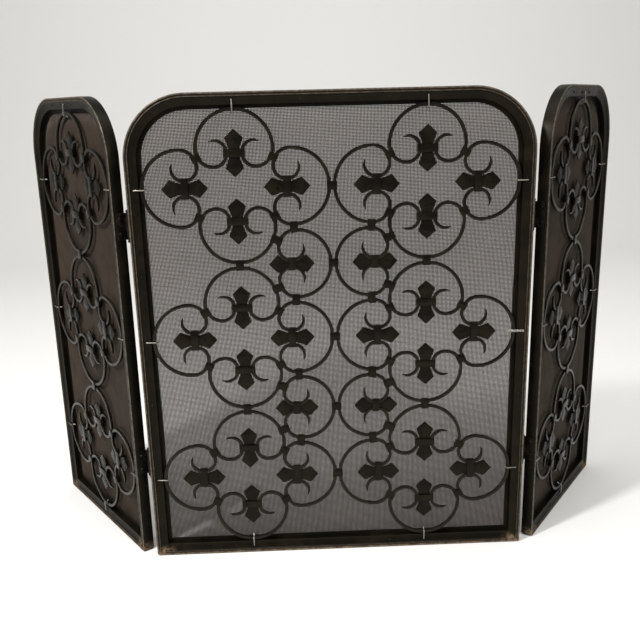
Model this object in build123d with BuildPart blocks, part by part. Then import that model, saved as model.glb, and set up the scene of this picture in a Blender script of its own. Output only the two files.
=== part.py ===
from build123d import *
import os
from math import atan2, cos, degrees, hypot, radians, sin

# Folding three-panel fireplace screen, in millimetres.
# +X runs to the right, +Y away from the room side (back), +Z up.
# The origin is the middle of the underside of the centre panel's bottom rail.

# ---- panels ----
OPEN_H = 724.0             # height inside the rails of all three panels
CENTRE_OPEN = 587.0        # width inside the rails of the centre panel
SIDE_OPEN = 294.0          # width inside the rails of each side panel
CORNER_R = 97.0            # outer radius of the two top corners
FOOT_R = 6.0               # outer radius of the two bottom corners
FOLD = 54.0                # degrees each side panel stands back from the centre panel's plane

# ---- rail section: u runs in from the outer edge, depth runs back from the front ----
RAIL_DEPTH = 19.0          # depth of the outer wall
RAIL_FACE = 19.0           # width of the front face
RAIL_WALL = 2.0            # thickness of the outer wall
RIM_W = 3.0                # raised bead along the outer edge
RIM_EASE = 1.2             # eased corner of the bead
GROOVE_D = 1.8             # depth of the groove inside the bead
GROOVE_W = 1.0             # flat bottom of the groove
RIDGE_D = 0.9              # depth of the second ridge
RIDGE_W = 1.4              # top of the second ridge
STEP_RUN = 0.6             # run of each slope between the steps
FACE_D = 2.6               # depth where the main face starts
FACE_FALL = 1.8            # how far the main face slopes back
LIP_T = 1.6                # thickness of the inner lip
SKIN_T = 1.8               # thickness of the front skin
LIP_END = 13.6             # depth where the inner lip ends

# The rails are built round the openings, so a wider face leaves the scrollwork clear of them.
PANEL_H = OPEN_H + 2 * RAIL_FACE
CENTRE_W = CENTRE_OPEN + 2 * RAIL_FACE
SIDE_W = SIDE_OPEN + 2 * RAIL_FACE

# ---- mesh and the strips that clamp it, behind the lip ----
STRIP_OUT = 9.0            # inset of the strips' outer edge
STRIP_IN = 24.5            # inset of the strips' inner edge
STRIP_T = 1.4              # thickness of each strip
MESH_T = 0.3               # solid sheet with the weight of the wire cloth
MESH_OUT = 9.5             # inset of the cloth's edge
RIVET_R = 1.6
RIVET_HEAD_R = 3.0
RIVET_HEAD_T = 1.2
RIVET_INSET = 13.2
RIVET_PITCH = 130.0        # largest spacing between rivets
RIVET_LOW = 58.2           # height of the lowest rivets on the sides
RIVET_TAPER = 35           # slope of the rivets' back heads in degrees
HOLE_CLEAR = 0.05          # radial clearance of rivets and screws

# ---- scrollwork ----
BAR = 5.0                  # width and depth of the scroll bar
BAR_SET = 4.2              # depth of the scrolls' front
RING_R = 58.3              # centre-line radius of a large ring
TURN_R = 26.5              # centre-line radius of the turn into the volute
VOLUTE_R = 20.2            # centre-line radius of the volute
LINK_RING_R = 53.5         # ring radius of the link scrolls
LINK_TURN_R = 27.8         # turn radius of the link scrolls
TIP_ANGLE = 79.0           # where a volute's tip ends
TAPER_ANGLE = 160.0        # where it starts to taper
TIP_HALF = 0.5             # half width of the tip
TIP_CURL = 1.5             # how far the tip curls in
TAPER_OUTER = 0.7          # share of the half width left half way along the taper, outer edge
TAPER_INNER = 0.8          # the same for the inner edge
ROSE_HALF_W = 142.5        # from a quatrefoil's centre to the crown of its side rings
ROSE_HALF_H = 116.2        # from a quatrefoil's centre to the crown of its top ring
ROSE_PITCH = 240.5         # height between quatrefoils
ROSE_RISE = -0.3           # how far the scrollwork's middle stands over the panel's
MID_GAP = 7.8              # between the crowns that meet on the centre line

# ---- fleur plates ----
FLEUR_HALF_L = 35.6        # half length, tip to centre
FLEUR_HALF_W = 13.8        # half width at the shoulders
FLEUR_SHOULDER = 22.7      # shoulders' distance from the centre
FLEUR_NECK = 8.6           # half width of the neck
FLEUR_NECK_L = 7.5         # where the neck opens out
FLEUR_HOLLOW = 0.5         # how far the edge from neck to shoulder hollows in
FLEUR_PAD_L = 4.6          # half length of the pad inside the band
FLEUR_PAD_W = 9.0          # half width of the pad before the volutes cut into it
FLEUR_T = 2.0
TOUCH = 0.2                # gap where curved bars are seated

# ---- bands (collars) ----
BAND_T = 1.0               # strap thickness
BAND_W = 12.0              # strap width on the joints
FLEUR_BAND_W = 10.0        # strap width on the fleurs
BAND_CLEAR = 0.1
BAND_THROUGH = 1.2         # how much longer than the strap its hollow is cut

# ---- wire clips ----
CLIP_R = 0.8
CLIP_INSET = 11.0          # inset of the hole in the rail's face
CLIP_BEND = 1.5
CLIP_TAIL = 7.2            # depth of the end inside the rail
CLIP_HOOK = 9.8            # depth of the end behind the scroll bar
CLIP_CLEAR = 0.1
CLIP_FALL = 0.4            # how far the face has sloped back where the wire crosses it

# ---- hinges ----
HINGE_L = 42.0
HINGE_Z = (166.0, 565.0)   # heights of the hinges' middles
HINGE_GAP = 10.0           # between the panels when they stand in line
PIN_DEPTH = 21.5           # depth of the pin's axis behind the front
PIN_R = 1.5
PIN_CLEAR = 0.05
KNUCKLE_R = 2.9
KNUCKLE_GAP = 0.3
LEAF_T = 2.0
LEAF_START = 4.5           # depth where the leaf starts on the wall
LEAF_STOP = 0.2            # how far the leaf stops short of the pin's axis
BALL_R = 2.4
BALL_GAP = 0.1             # between a ball and the knuckle
SCREW_R = 1.6
SCREW_HEAD_R = 3.1
SCREW_HEAD_T = 1.1
SCREW_TAPER = 30           # slope of the screw heads in degrees
SCREW_TAIL = 1.5           # how far a screw stands out inside the rail
SCREW_DEPTH = 10.5
SCREW_SPREAD = 12.0        # from the hinge's middle to each screw

FRONT_Y = -RAIL_DEPTH / 2
BACK_LIP = LIP_END + STRIP_T
MESH_BACK = BACK_LIP + MESH_T
STRIP_BACK = MESH_BACK + STRIP_T
SCROLL_MID = PANEL_H / 2 + ROSE_RISE
ROW_NAMES = ("lower", "middle", "upper")
ROWS = [SCROLL_MID + (row - 1) * ROSE_PITCH for row in range(len(ROW_NAMES))]

os.makedirs("parts", exist_ok=True)


def save(piece, label):
    piece.label = label
    export_step(piece, f"parts/{label}.step")


def panel_plane(side):
    """Front plane of a panel: x right, y up, z towards the room; side is -1, 0 or 1."""
    if side == 0:
        return Plane(origin=(0, FRONT_Y, 0), x_dir=(1, 0, 0), z_dir=(0, -1, 0))
    pin = pin_axis(side)
    arm = Vector(side * (HINGE_GAP + SIDE_W) / 2, FRONT_Y - pin.Y, 0).rotate(Axis.Z, side * FOLD)
    right = Vector(1, 0, 0).rotate(Axis.Z, side * FOLD)
    front = Vector(0, -1, 0).rotate(Axis.Z, side * FOLD)
    return Plane(origin=pin + arm, x_dir=right, z_dir=front)


def pin_axis(side):
    return Vector(side * (CENTRE_W + HINGE_GAP) / 2, FRONT_Y + PIN_DEPTH, 0)


def section_plane(face, at, inward):
    """Plane of a rail's section: x inward from the edge point, y back."""
    origin = face.from_local_coords((at[0], at[1], 0))
    x_dir = face.x_dir * inward[0] + face.y_dir * inward[1]
    return Plane(origin=origin, x_dir=x_dir, z_dir=x_dir.cross(face.z_dir * -1))


def rail_section(plane):
    """Rolled channel: outer wall, bead, groove, ridge, sloping face and inner lip."""
    groove = RIM_W + STEP_RUN
    ridge = groove + GROOVE_W + STEP_RUN
    main = ridge + RIDGE_W + STEP_RUN
    lip = RAIL_FACE - LIP_T
    with BuildSketch(plane) as section:
        with BuildLine():
            Polyline(
                (0, RAIL_DEPTH), (0, RIM_EASE), (RIM_EASE, 0), (RIM_W, 0),
                (groove, GROOVE_D), (groove + GROOVE_W, GROOVE_D),
                (ridge, RIDGE_D), (ridge + RIDGE_W, RIDGE_D),
                (main, FACE_D), (RAIL_FACE, FACE_D + FACE_FALL), (RAIL_FACE, LIP_END),
                (lip, LIP_END), (lip, FACE_D + FACE_FALL + SKIN_T),
                (RAIL_WALL, FACE_D + SKIN_T), (RAIL_WALL, RAIL_DEPTH), close=True)
        make_face()
    return section.sketch


def arch_outline(plane, width, inset):
    """Panel outline drawn in by an inset, with its two top corners rounded."""
    with BuildSketch(plane) as outline:
        with Locations((0, inset)):
            Rectangle(width - 2 * inset, PANEL_H - 2 * inset, align=(Align.CENTER, Align.MIN))
        fillet(outline.vertices().group_by(Axis.Y)[-1], CORNER_R - inset)
    return outline.sketch


def clip_reach(width, rose_x):
    """Distance from the panel's edge to the crowns at its left and right, top and bottom."""
    return {
        "side": width / 2 - rose_x - ROSE_HALF_W,
        "top": PANEL_H - ROWS[-1] - ROSE_HALF_H,
        "bottom": ROWS[0] - ROSE_HALF_H,
    }


def clip_places(width, columns):
    """(edge point, inward direction, reach, which) of each wire clip on a panel."""
    reach = clip_reach(width, max(columns))
    places = []
    for row in ROWS:
        places.append(((-width / 2, row), (1, 0), reach["side"], "side"))
        places.append(((width / 2, row), (-1, 0), reach["side"], "side"))
    for x in columns:
        places.append(((x, PANEL_H), (0, -1), reach["top"], "top"))
        places.append(((x, 0), (0, 1), reach["bottom"], "bottom"))
    return places


def clip_holes(face, places):
    with BuildSketch(face) as holes:
        for at, inward, _, _ in places:
            with Locations((at[0] + inward[0] * CLIP_INSET, at[1] + inward[1] * CLIP_INSET)):
                Circle(CLIP_R + CLIP_CLEAR)
    extrude(holes.sketch, amount=-CLIP_TAIL, mode=Mode.SUBTRACT)


def mitre_wedge(face, width, below):
    """Material on one side of the 45 degree joint at both bottom corners."""
    reach = 2 * RAIL_FACE
    with BuildSketch(face) as wedges:
        for hand in (-1, 1):
            corner = hand * width / 2
            third = (corner - hand * reach, 0) if below else (corner, reach)
            with BuildLine():
                Polyline((corner, 0), third, (corner - hand * reach, reach), close=True)
            make_face()
    extrude(wedges.sketch, amount=-2 * RAIL_DEPTH, mode=Mode.SUBTRACT)


def foot_rounding(face, width):
    """Rounds the two outer bottom corners."""
    with BuildSketch(face) as corners:
        for hand in (-1, 1):
            with Locations((hand * (width / 2 - FOOT_R / 2), FOOT_R / 2)):
                Rectangle(FOOT_R, FOOT_R)
        for hand in (-1, 1):
            with Locations((hand * (width / 2 - FOOT_R), FOOT_R)):
                Circle(FOOT_R, mode=Mode.SUBTRACT)
    extrude(corners.sketch, amount=-2 * RAIL_DEPTH, mode=Mode.SUBTRACT)


def make_arch_rail(name, face, width, clips, hinged):
    """Side rails and top rail, one strip bent round both top corners."""
    mid_plane = Plane(origin=face.origin, z_dir=face.x_dir)
    straight = PANEL_H - CORNER_R
    with BuildPart() as rail:
        extrude(rail_section(section_plane(face, (-width / 2, 0), (1, 0))), amount=straight)
        bend = face.from_local_coords((CORNER_R - width / 2, straight, 0))
        revolve(rail_section(section_plane(face, (-width / 2, straight), (1, 0))),
                axis=Axis(bend, face.z_dir * -1), revolution_arc=90)
        extrude(rail_section(section_plane(face, (CORNER_R - width / 2, PANEL_H), (0, -1))),
                amount=width / 2 - CORNER_R)
        mirror(about=mid_plane)
        mitre_wedge(face, width, below=True)
        foot_rounding(face, width)
        clip_holes(face, [place for place in clips if place[3] != "bottom"])
        for hand in hinged:
            for height in screw_heights():
                with BuildSketch(wall_plane(face, width, hand, height)):
                    Circle(SCREW_R + HOLE_CLEAR)
                extrude(amount=-2 * RAIL_WALL, mode=Mode.SUBTRACT)
    save(rail.part, f"{name}_arch_rail")


def make_bottom_rail(name, face, width, clips):
    with BuildPart() as rail:
        extrude(rail_section(section_plane(face, (width / 2, 0), (0, 1))), amount=width)
        mitre_wedge(face, width, below=False)
        foot_rounding(face, width)
        clip_holes(face, [place for place in clips if place[3] == "bottom"])
    save(rail.part, f"{name}_bottom_rail")


def rivet_places(width):
    """Rivet centres, evenly spaced along the straight runs of the strips."""
    def spread(low, high):
        count = int((high - low) / RIVET_PITCH) + 1
        return [low + (high - low) * step / count for step in range(count + 1)]

    edge = width / 2 - RIVET_INSET
    upright = spread(RIVET_LOW, PANEL_H - CORNER_R)
    places = [(hand * edge, z) for hand in (-1, 1) for z in upright]
    across = spread(CORNER_R - width / 2, width / 2 - CORNER_R)
    return places + [(x, z) for x in across for z in (RIVET_INSET, PANEL_H - RIVET_INSET)]


def rivet_holes(face, width, start, depth):
    with BuildSketch(face.offset(-start)) as holes:
        with Locations(*rivet_places(width)):
            Circle(RIVET_R + HOLE_CLEAR)
    extrude(holes.sketch, amount=-depth, mode=Mode.SUBTRACT)


def make_strip(name, face, width, start, label):
    """Flat arched frame that clamps the cloth."""
    plane = face.offset(-start)
    with BuildPart() as strip:
        extrude(arch_outline(plane, width, STRIP_OUT), amount=-STRIP_T)
        extrude(arch_outline(plane, width, STRIP_IN), amount=-STRIP_T, mode=Mode.SUBTRACT)
        rivet_holes(face, width, start, STRIP_T)
    save(strip.part, f"{name}_{label}")


def make_mesh(name, face, width):
    with BuildPart() as mesh:
        extrude(arch_outline(face.offset(-BACK_LIP), width, MESH_OUT), amount=-MESH_T)
        rivet_holes(face, width, BACK_LIP, MESH_T)
    save(mesh.part, f"{name}_spark_mesh")


def make_rivets(name, face, width):
    places = rivet_places(width)
    with BuildPart() as rivets:
        with BuildSketch(face.offset(RIVET_HEAD_T - LIP_END)):
            with Locations(*places):
                Circle(RIVET_HEAD_R)
        extrude(amount=-RIVET_HEAD_T)
        with BuildSketch(face.offset(-LIP_END)):
            with Locations(*places):
                Circle(RIVET_R)
        extrude(amount=LIP_END - STRIP_BACK)
        with BuildSketch(face.offset(-STRIP_BACK)):
            with Locations(*places):
                Circle(RIVET_HEAD_R)
        extrude(amount=-RIVET_HEAD_T, taper=RIVET_TAPER)
    save(rivets.part, f"{name}_rivets")


def polar(centre, radius, angle):
    return (centre[0] + radius * cos(radians(angle)), centre[1] + radius * sin(radians(angle)))


def scroll_shape(ring_r, turn_r):
    """C-scroll: ring crown at +Y, ends turning into two tapered volutes."""
    half = BAR / 2
    turn = (ring_r - turn_r, 0)
    volute = (ring_r - turn_r, VOLUTE_R - turn_r)
    curl = (TAPER_ANGLE + TIP_ANGLE) / 2
    outer = [polar(volute, VOLUTE_R + half, TAPER_ANGLE),
             polar(volute, VOLUTE_R + half * TAPER_OUTER, curl),
             polar(volute, VOLUTE_R - TIP_CURL + TIP_HALF, TIP_ANGLE)]
    inner = [polar(volute, VOLUTE_R - TIP_CURL - TIP_HALF, TIP_ANGLE),
             polar(volute, VOLUTE_R - half * TAPER_INNER, curl),
             polar(volute, VOLUTE_R - half, TAPER_ANGLE)]
    with BuildSketch() as shape:
        with BuildLine():
            CenterArc((0, 0), ring_r + half, 0, 90)
            CenterArc(turn, turn_r + half, -90, 90)
            CenterArc(volute, VOLUTE_R + half, TAPER_ANGLE, 270 - TAPER_ANGLE)
            ThreePointArc(*outer)
            Line(outer[-1], inner[0])
            ThreePointArc(*inner)
            CenterArc(volute, VOLUTE_R - half, TAPER_ANGLE, 270 - TAPER_ANGLE)
            CenterArc(turn, turn_r - half, -90, 90)
            CenterArc((0, 0), ring_r - half, 0, 90)
            Line((0, ring_r - half), (0, ring_r + half))
        make_face()
        mirror(about=Plane.YZ)
    return shape.sketch


def fleur_shape(ring_r, turn_r):
    """Flat plate with a spear point at each end and a pad that sits between the volutes."""
    swell = ((FLEUR_NECK + FLEUR_HALF_W) / 2 - FLEUR_HOLLOW, (FLEUR_NECK_L + FLEUR_SHOULDER) / 2)
    with BuildSketch() as shape:
        with BuildLine():
            Line((0, FLEUR_HALF_L), (FLEUR_HALF_W, FLEUR_SHOULDER))
            ThreePointArc((FLEUR_HALF_W, FLEUR_SHOULDER), swell, (FLEUR_NECK, FLEUR_NECK_L))
            Polyline((FLEUR_NECK, FLEUR_NECK_L), (FLEUR_NECK, FLEUR_PAD_L),
                     (FLEUR_PAD_W, FLEUR_PAD_L), (FLEUR_PAD_W, 0), (0, 0), (0, FLEUR_HALF_L))
        make_face()
        mirror(about=Plane.XZ)
        mirror(about=Plane.YZ)
        with Locations((ring_r - turn_r, 0), (turn_r - ring_r, 0)):
            Circle(VOLUTE_R + BAR / 2 + TOUCH, mode=Mode.SUBTRACT)
    return shape.sketch


LARGE_SCROLL = scroll_shape(RING_R, TURN_R)
LINK_SCROLL = scroll_shape(LINK_RING_R, LINK_TURN_R)
LARGE_FLEUR = fleur_shape(RING_R, TURN_R)
LINK_FLEUR = fleur_shape(LINK_RING_R, LINK_TURN_R)


def rose(x, y):
    """Place (x, y, turn) of the four scrolls round a quatrefoil's centre."""
    across = ROSE_HALF_W - RING_R
    rise = ROSE_HALF_H - RING_R
    return [(x, y + rise, 0), (x - across, y, 90), (x, y - rise, 180), (x + across, y, -90)]


def link_places():
    """Small scrolls between the rows, crowns on the centre line."""
    x = MID_GAP / 2 + LINK_RING_R
    heights = [(low + high) / 2 for low, high in zip(ROWS, ROWS[1:])]
    return [(hand * x, z, hand * 90) for hand in (-1, 1) for z in heights]


def lay(shape, places):
    """Copies of a flat shape at each place, inside the current sketch."""
    for x, y, turn in places:
        with Locations(Location((x, y, 0), (0, 0, turn))):
            add(shape)


def make_scrolls(label, face, shape, places):
    with BuildPart() as scrolls:
        with BuildSketch(face.offset(-BAR_SET)):
            lay(shape, places)
        extrude(amount=-BAR)
    save(scrolls.part, label)


def fleur_places(places, turn_r):
    """A fleur's centre stands between the volutes of each scroll."""
    drop = VOLUTE_R - turn_r
    return [(x - drop * sin(radians(turn)), y + drop * cos(radians(turn)), turn)
            for x, y, turn in places]


def make_fleurs(label, face, shape, places):
    with BuildPart() as fleurs:
        with BuildSketch(face.offset(-BAR_SET - (BAR - FLEUR_T) / 2)):
            lay(shape, places)
        extrude(amount=-FLEUR_T)
    save(fleurs.part, label)


def make_bands(label, face, bands, width):
    """Straps folded round the bars; each band is (x, y, turn, inside length)."""
    with BuildPart() as straps:
        with BuildSketch(face.offset(BAND_T + BAND_CLEAR - BAR_SET)):
            for x, y, turn, inside in bands:
                with Locations(Location((x, y, 0), (0, 0, turn))):
                    Rectangle(inside + 2 * BAND_T, width)
        extrude(amount=-(BAR + 2 * BAND_CLEAR + 2 * BAND_T))
        with BuildSketch(face.offset(BAND_CLEAR - BAR_SET)):
            for x, y, turn, inside in bands:
                with Locations(Location((x, y, 0), (0, 0, turn))):
                    Rectangle(inside, BAND_THROUGH * width)
        extrude(amount=-(BAR + 2 * BAND_CLEAR), mode=Mode.SUBTRACT)
    save(straps.part, label)


def fleur_bands(places, ring_r, turn_r):
    """The strap holds both volutes against the fleur's pad."""
    side = ring_r - turn_r
    reach = side - VOLUTE_R + BAR / 2 + sagitta(VOLUTE_R - BAR / 2, FLEUR_BAND_W / 2)
    inside = 2 * (reach + BAND_CLEAR)
    return [(x, y, turn, inside) for x, y, turn in places]


def sagitta(radius, half_chord):
    return radius - (radius ** 2 - half_chord ** 2) ** 0.5


def joint_band(first, first_r, second, second_r):
    """Strap where two round bars pass, from the centres and radii of the two bends."""
    span = hypot(second[0] - first[0], second[1] - first[1])
    near = first_r - BAR / 2 - sagitta(first_r - BAR / 2, BAND_W / 2)
    far = span - second_r + BAR / 2 + sagitta(second_r - BAR / 2, BAND_W / 2)
    share = (near + far) / 2 / span
    x = first[0] + (second[0] - first[0]) * share
    y = first[1] + (second[1] - first[1]) * share
    turn = degrees(atan2(second[1] - first[1], second[0] - first[0]))
    return (x, y, turn, far - near + 2 * BAND_CLEAR)


def rose_bands(x, y):
    """Four diagonal joints of a quatrefoil."""
    bend = RING_R - TURN_R
    across = ROSE_HALF_W - RING_R
    rise = ROSE_HALF_H - RING_R
    return [joint_band((x + h * bend, y + v * rise), TURN_R, (x + h * across, y + v * bend), TURN_R)
            for h in (-1, 1) for v in (-1, 1)]


def column_bands(x):
    """Joints between the quatrefoils of one column."""
    rise = ROSE_HALF_H - RING_R
    return [joint_band((x, low + rise), RING_R, (x, high - rise), RING_R)
            for low, high in zip(ROWS, ROWS[1:])]


def centre_bands(column):
    """Joints on the centre line and round the link scrolls."""
    ring_x = MID_GAP / 2 + RING_R
    link_x = MID_GAP / 2 + LINK_RING_R
    rise = ROSE_HALF_H - RING_R
    bend = RING_R - TURN_R
    link_bend = LINK_RING_R - LINK_TURN_R
    bands = [joint_band((-ring_x, z), RING_R, (ring_x, z), RING_R) for z in ROWS]
    for low, high in zip(ROWS, ROWS[1:]):
        z = (low + high) / 2
        bands.append(joint_band((-link_x, z), LINK_RING_R, (link_x, z), LINK_RING_R))
        for hand in (-1, 1):
            for near, up in ((low, 1), (high, -1)):
                link = (hand * link_x, z - up * link_bend)
                ring = (hand * ring_x, near + up * bend)
                outer = (hand * column, near + up * rise)
                bands.append(joint_band(ring, TURN_R, link, LINK_TURN_R))
                bands.append(joint_band(outer, RING_R, link, LINK_TURN_R))
    return bands


def make_clips(name, face, places):
    """Bent wires from a hole in the rail's face over the crown of a ring."""
    over_rail = FACE_D + CLIP_FALL - CLIP_CLEAR - CLIP_R
    over_bar = BAR_SET - CLIP_CLEAR - CLIP_R
    with BuildPart() as clips:
        for at, inward, reach, _ in places:
            hook = reach + BAR / 2 + CLIP_R + CLIP_CLEAR
            with BuildLine(section_plane(face, at, inward)) as wire:
                FilletPolyline((CLIP_INSET, CLIP_TAIL), (CLIP_INSET, over_rail),
                               (hook, over_bar), (hook, CLIP_HOOK), radius=CLIP_BEND)
            path = wire.line
            with BuildSketch(Plane(origin=path @ 0, z_dir=path % 0)):
                Circle(CLIP_R)
            sweep(path=path)
    save(clips.part, f"{name}_wire_clips")


def screw_heights():
    return [z + step * SCREW_SPREAD for z in HINGE_Z for step in (-1, 1)]


def wall_plane(face, width, hand, height):
    """Plane on a rail's outer wall at a screw, normal outwards."""
    origin = face.from_local_coords((hand * width / 2, height, -SCREW_DEPTH))
    return Plane(origin=origin, z_dir=face.x_dir * hand)


def make_leaf(label, plane, hand, height, knuckles):
    """Hinge leaf in plan about the pin: plate on the wall, web and knuckles."""
    gap = HINGE_GAP / 2
    plate_mid = gap - LEAF_T / 2
    start = PIN_DEPTH - LEAF_START
    bottom = plane.offset(height - HINGE_L / 2)
    with BuildPart() as leaf:
        with BuildSketch(bottom):
            with Locations((hand * plate_mid, -(start + LEAF_STOP) / 2)):
                Rectangle(LEAF_T, start - LEAF_STOP)
        extrude(amount=HINGE_L)
        for low, high in knuckles:
            with BuildSketch(bottom.offset(low)):
                Circle(KNUCKLE_R)
                with Locations((hand * gap / 2, LEAF_T / 2 - KNUCKLE_R)):
                    Rectangle(gap, LEAF_T)
                Circle(PIN_R + PIN_CLEAR, mode=Mode.SUBTRACT)
            extrude(amount=high - low)
        for step in (-1, 1):
            origin = plane.from_local_coords(
                (hand * gap, SCREW_DEPTH - PIN_DEPTH, height + step * SCREW_SPREAD))
            with BuildSketch(Plane(origin=origin, z_dir=plane.x_dir * -hand)):
                Circle(SCREW_R + HOLE_CLEAR)
            extrude(amount=2 * LEAF_T, mode=Mode.SUBTRACT)
    save(leaf.part, label)


def make_pin(label, side, height):
    """Pin with a ball at each end, standing clear of the knuckles."""
    ball = HINGE_L / 2 + BALL_R + BALL_GAP
    axis = pin_axis(side)
    with BuildPart() as pin:
        with BuildSketch(Plane(origin=(axis.X, axis.Y, height - ball))):
            Circle(PIN_R)
        extrude(amount=2 * ball)
        with Locations((axis.X, axis.Y, height - ball), (axis.X, axis.Y, height + ball)):
            Sphere(BALL_R)
    save(pin.part, label)


def make_screws(name, face, width, hinged):
    """Round-head screws through the leaves into the rails' outer walls."""
    with BuildPart() as screws:
        for hand in hinged:
            for height in screw_heights():
                wall = wall_plane(face, width, hand, height)
                with BuildSketch(wall.offset(LEAF_T)):
                    Circle(SCREW_HEAD_R)
                extrude(amount=SCREW_HEAD_T, taper=SCREW_TAPER)
                with BuildSketch(wall.offset(-RAIL_WALL - SCREW_TAIL)):
                    Circle(SCREW_R)
                extrude(amount=RAIL_WALL + SCREW_TAIL + LEAF_T)
    save(screws.part, f"{name}_hinge_screws")


def make_hinge(side, height, where):
    """One butt hinge: outer knuckles on the centre panel, middle knuckle on the side panel."""
    hand_name = "left" if side < 0 else "right"
    third = (HINGE_L - 2 * KNUCKLE_GAP) / 3
    outer = [(0, third), (HINGE_L - third, HINGE_L)]
    middle = [(third + KNUCKLE_GAP, HINGE_L - third - KNUCKLE_GAP)]
    pin = pin_axis(side)
    turned = Vector(1, 0, 0).rotate(Axis.Z, side * FOLD)
    label = f"{hand_name}_{where}_hinge"
    make_leaf(f"{label}_centre_leaf", Plane(origin=pin), -side, height, outer)
    make_leaf(f"{label}_side_leaf", Plane(origin=pin, x_dir=turned, z_dir=(0, 0, 1)),
              side, height, middle)
    make_pin(f"{label}_pin", side, height)


def make_panel(name, side, width, columns, hinged):
    """Rails, cloth, strips, rivets, fleurs, bands and clips of one panel."""
    face = panel_plane(side)
    clips = clip_places(width, columns)
    make_arch_rail(name, face, width, clips, hinged)
    make_bottom_rail(name, face, width, clips)
    make_strip(name, face, width, LIP_END, "mesh_seat")
    make_mesh(name, face, width)
    make_strip(name, face, width, MESH_BACK, "mesh_clamp")
    make_rivets(name, face, width)
    make_clips(name, face, clips)
    make_screws(name, face, width, hinged)
    scrolls = []
    joints = []
    for x in columns:
        column = "" if len(columns) == 1 else ("_left" if x < 0 else "_right")
        for row_name, row in zip(ROW_NAMES, ROWS):
            make_scrolls(f"{name}_scrolls_{row_name}{column}", face, LARGE_SCROLL, rose(x, row))
            scrolls += rose(x, row)
            joints += rose_bands(x, row)
        joints += column_bands(x)
    fleurs = fleur_places(scrolls, TURN_R)
    bands = fleur_bands(fleurs, RING_R, TURN_R)
    make_fleurs(f"{name}_fleurs", face, LARGE_FLEUR, fleurs)
    if side == 0:
        links = link_places()
        link_fleurs = fleur_places(links, LINK_TURN_R)
        make_scrolls("centre_link_scrolls", face, LINK_SCROLL, links)
        make_fleurs("centre_link_fleurs", face, LINK_FLEUR, link_fleurs)
        bands += fleur_bands(link_fleurs, LINK_RING_R, LINK_TURN_R)
        joints += centre_bands(max(columns))
    make_bands(f"{name}_fleur_bands", face, bands, FLEUR_BAND_W)
    make_bands(f"{name}_joint_bands", face, joints, BAND_W)


COLUMN_X = MID_GAP / 2 + ROSE_HALF_W
make_panel("centre", 0, CENTRE_W, (-COLUMN_X, COLUMN_X), (-1, 1))
make_panel("left", -1, SIDE_W, (0,), (1,))
make_panel("right", 1, SIDE_W, (0,), (-1,))
for side in (-1, 1):
    for where, height in zip(("lower", "upper"), HINGE_Z):
        make_hinge(side, height, where)
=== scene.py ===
"""Fireplace screen: the looks of a folding three-panel spark screen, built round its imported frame."""

import math

import bpy
from bpy.props import FloatProperty, FloatVectorProperty, PointerProperty
from mathutils import Matrix, Vector


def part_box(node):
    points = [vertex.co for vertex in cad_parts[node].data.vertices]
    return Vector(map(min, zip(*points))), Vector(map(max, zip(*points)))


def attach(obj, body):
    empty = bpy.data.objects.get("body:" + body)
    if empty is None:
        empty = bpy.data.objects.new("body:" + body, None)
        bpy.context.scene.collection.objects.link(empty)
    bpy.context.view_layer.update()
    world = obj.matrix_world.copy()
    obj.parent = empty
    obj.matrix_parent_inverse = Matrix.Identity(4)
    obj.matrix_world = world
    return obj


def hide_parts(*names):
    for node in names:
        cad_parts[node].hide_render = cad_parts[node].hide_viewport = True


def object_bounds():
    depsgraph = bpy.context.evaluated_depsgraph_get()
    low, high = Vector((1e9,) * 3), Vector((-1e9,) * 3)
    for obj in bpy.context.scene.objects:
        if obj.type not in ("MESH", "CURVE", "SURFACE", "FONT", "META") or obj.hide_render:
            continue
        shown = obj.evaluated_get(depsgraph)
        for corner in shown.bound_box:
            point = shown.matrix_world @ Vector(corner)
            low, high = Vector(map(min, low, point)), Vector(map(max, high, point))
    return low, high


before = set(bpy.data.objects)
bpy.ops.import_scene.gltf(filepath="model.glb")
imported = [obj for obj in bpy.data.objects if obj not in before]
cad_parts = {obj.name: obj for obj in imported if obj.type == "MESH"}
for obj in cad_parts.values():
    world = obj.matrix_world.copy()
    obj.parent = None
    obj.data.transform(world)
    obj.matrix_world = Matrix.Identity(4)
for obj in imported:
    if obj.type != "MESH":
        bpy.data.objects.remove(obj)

bl_info = {
    "name": "Fireplace Screen",
    "version": (1, 0, 0),
    "blender": (4, 5, 0),
    "location": "3D View > Sidebar > Screen",
    "description": "Rails, wire cloth, scrollwork, bands and clips of a folding fireplace screen",
    "category": "Object",
}

CAD_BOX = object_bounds()
PANEL_SIDES = (("centre", 0), ("left", -1), ("right", 1))
MM = 0.001
UP = Vector((0, 0, 1))
# Stands a shape drawn flat in x and y upright in a panel: y becomes up, z comes to the front.
UPRIGHT = Matrix.Rotation(math.radians(90), 4, "X")


def length(name, description, default):
    return FloatProperty(name=name, description=description, default=default, unit="LENGTH",
                         precision=5, min=0.0)


def colour(name, description, default):
    return FloatVectorProperty(name=name, description=description, default=default, subtype="COLOR",
                               size=3, min=0.0, max=1.0)


# ---- sizes and colours

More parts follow.
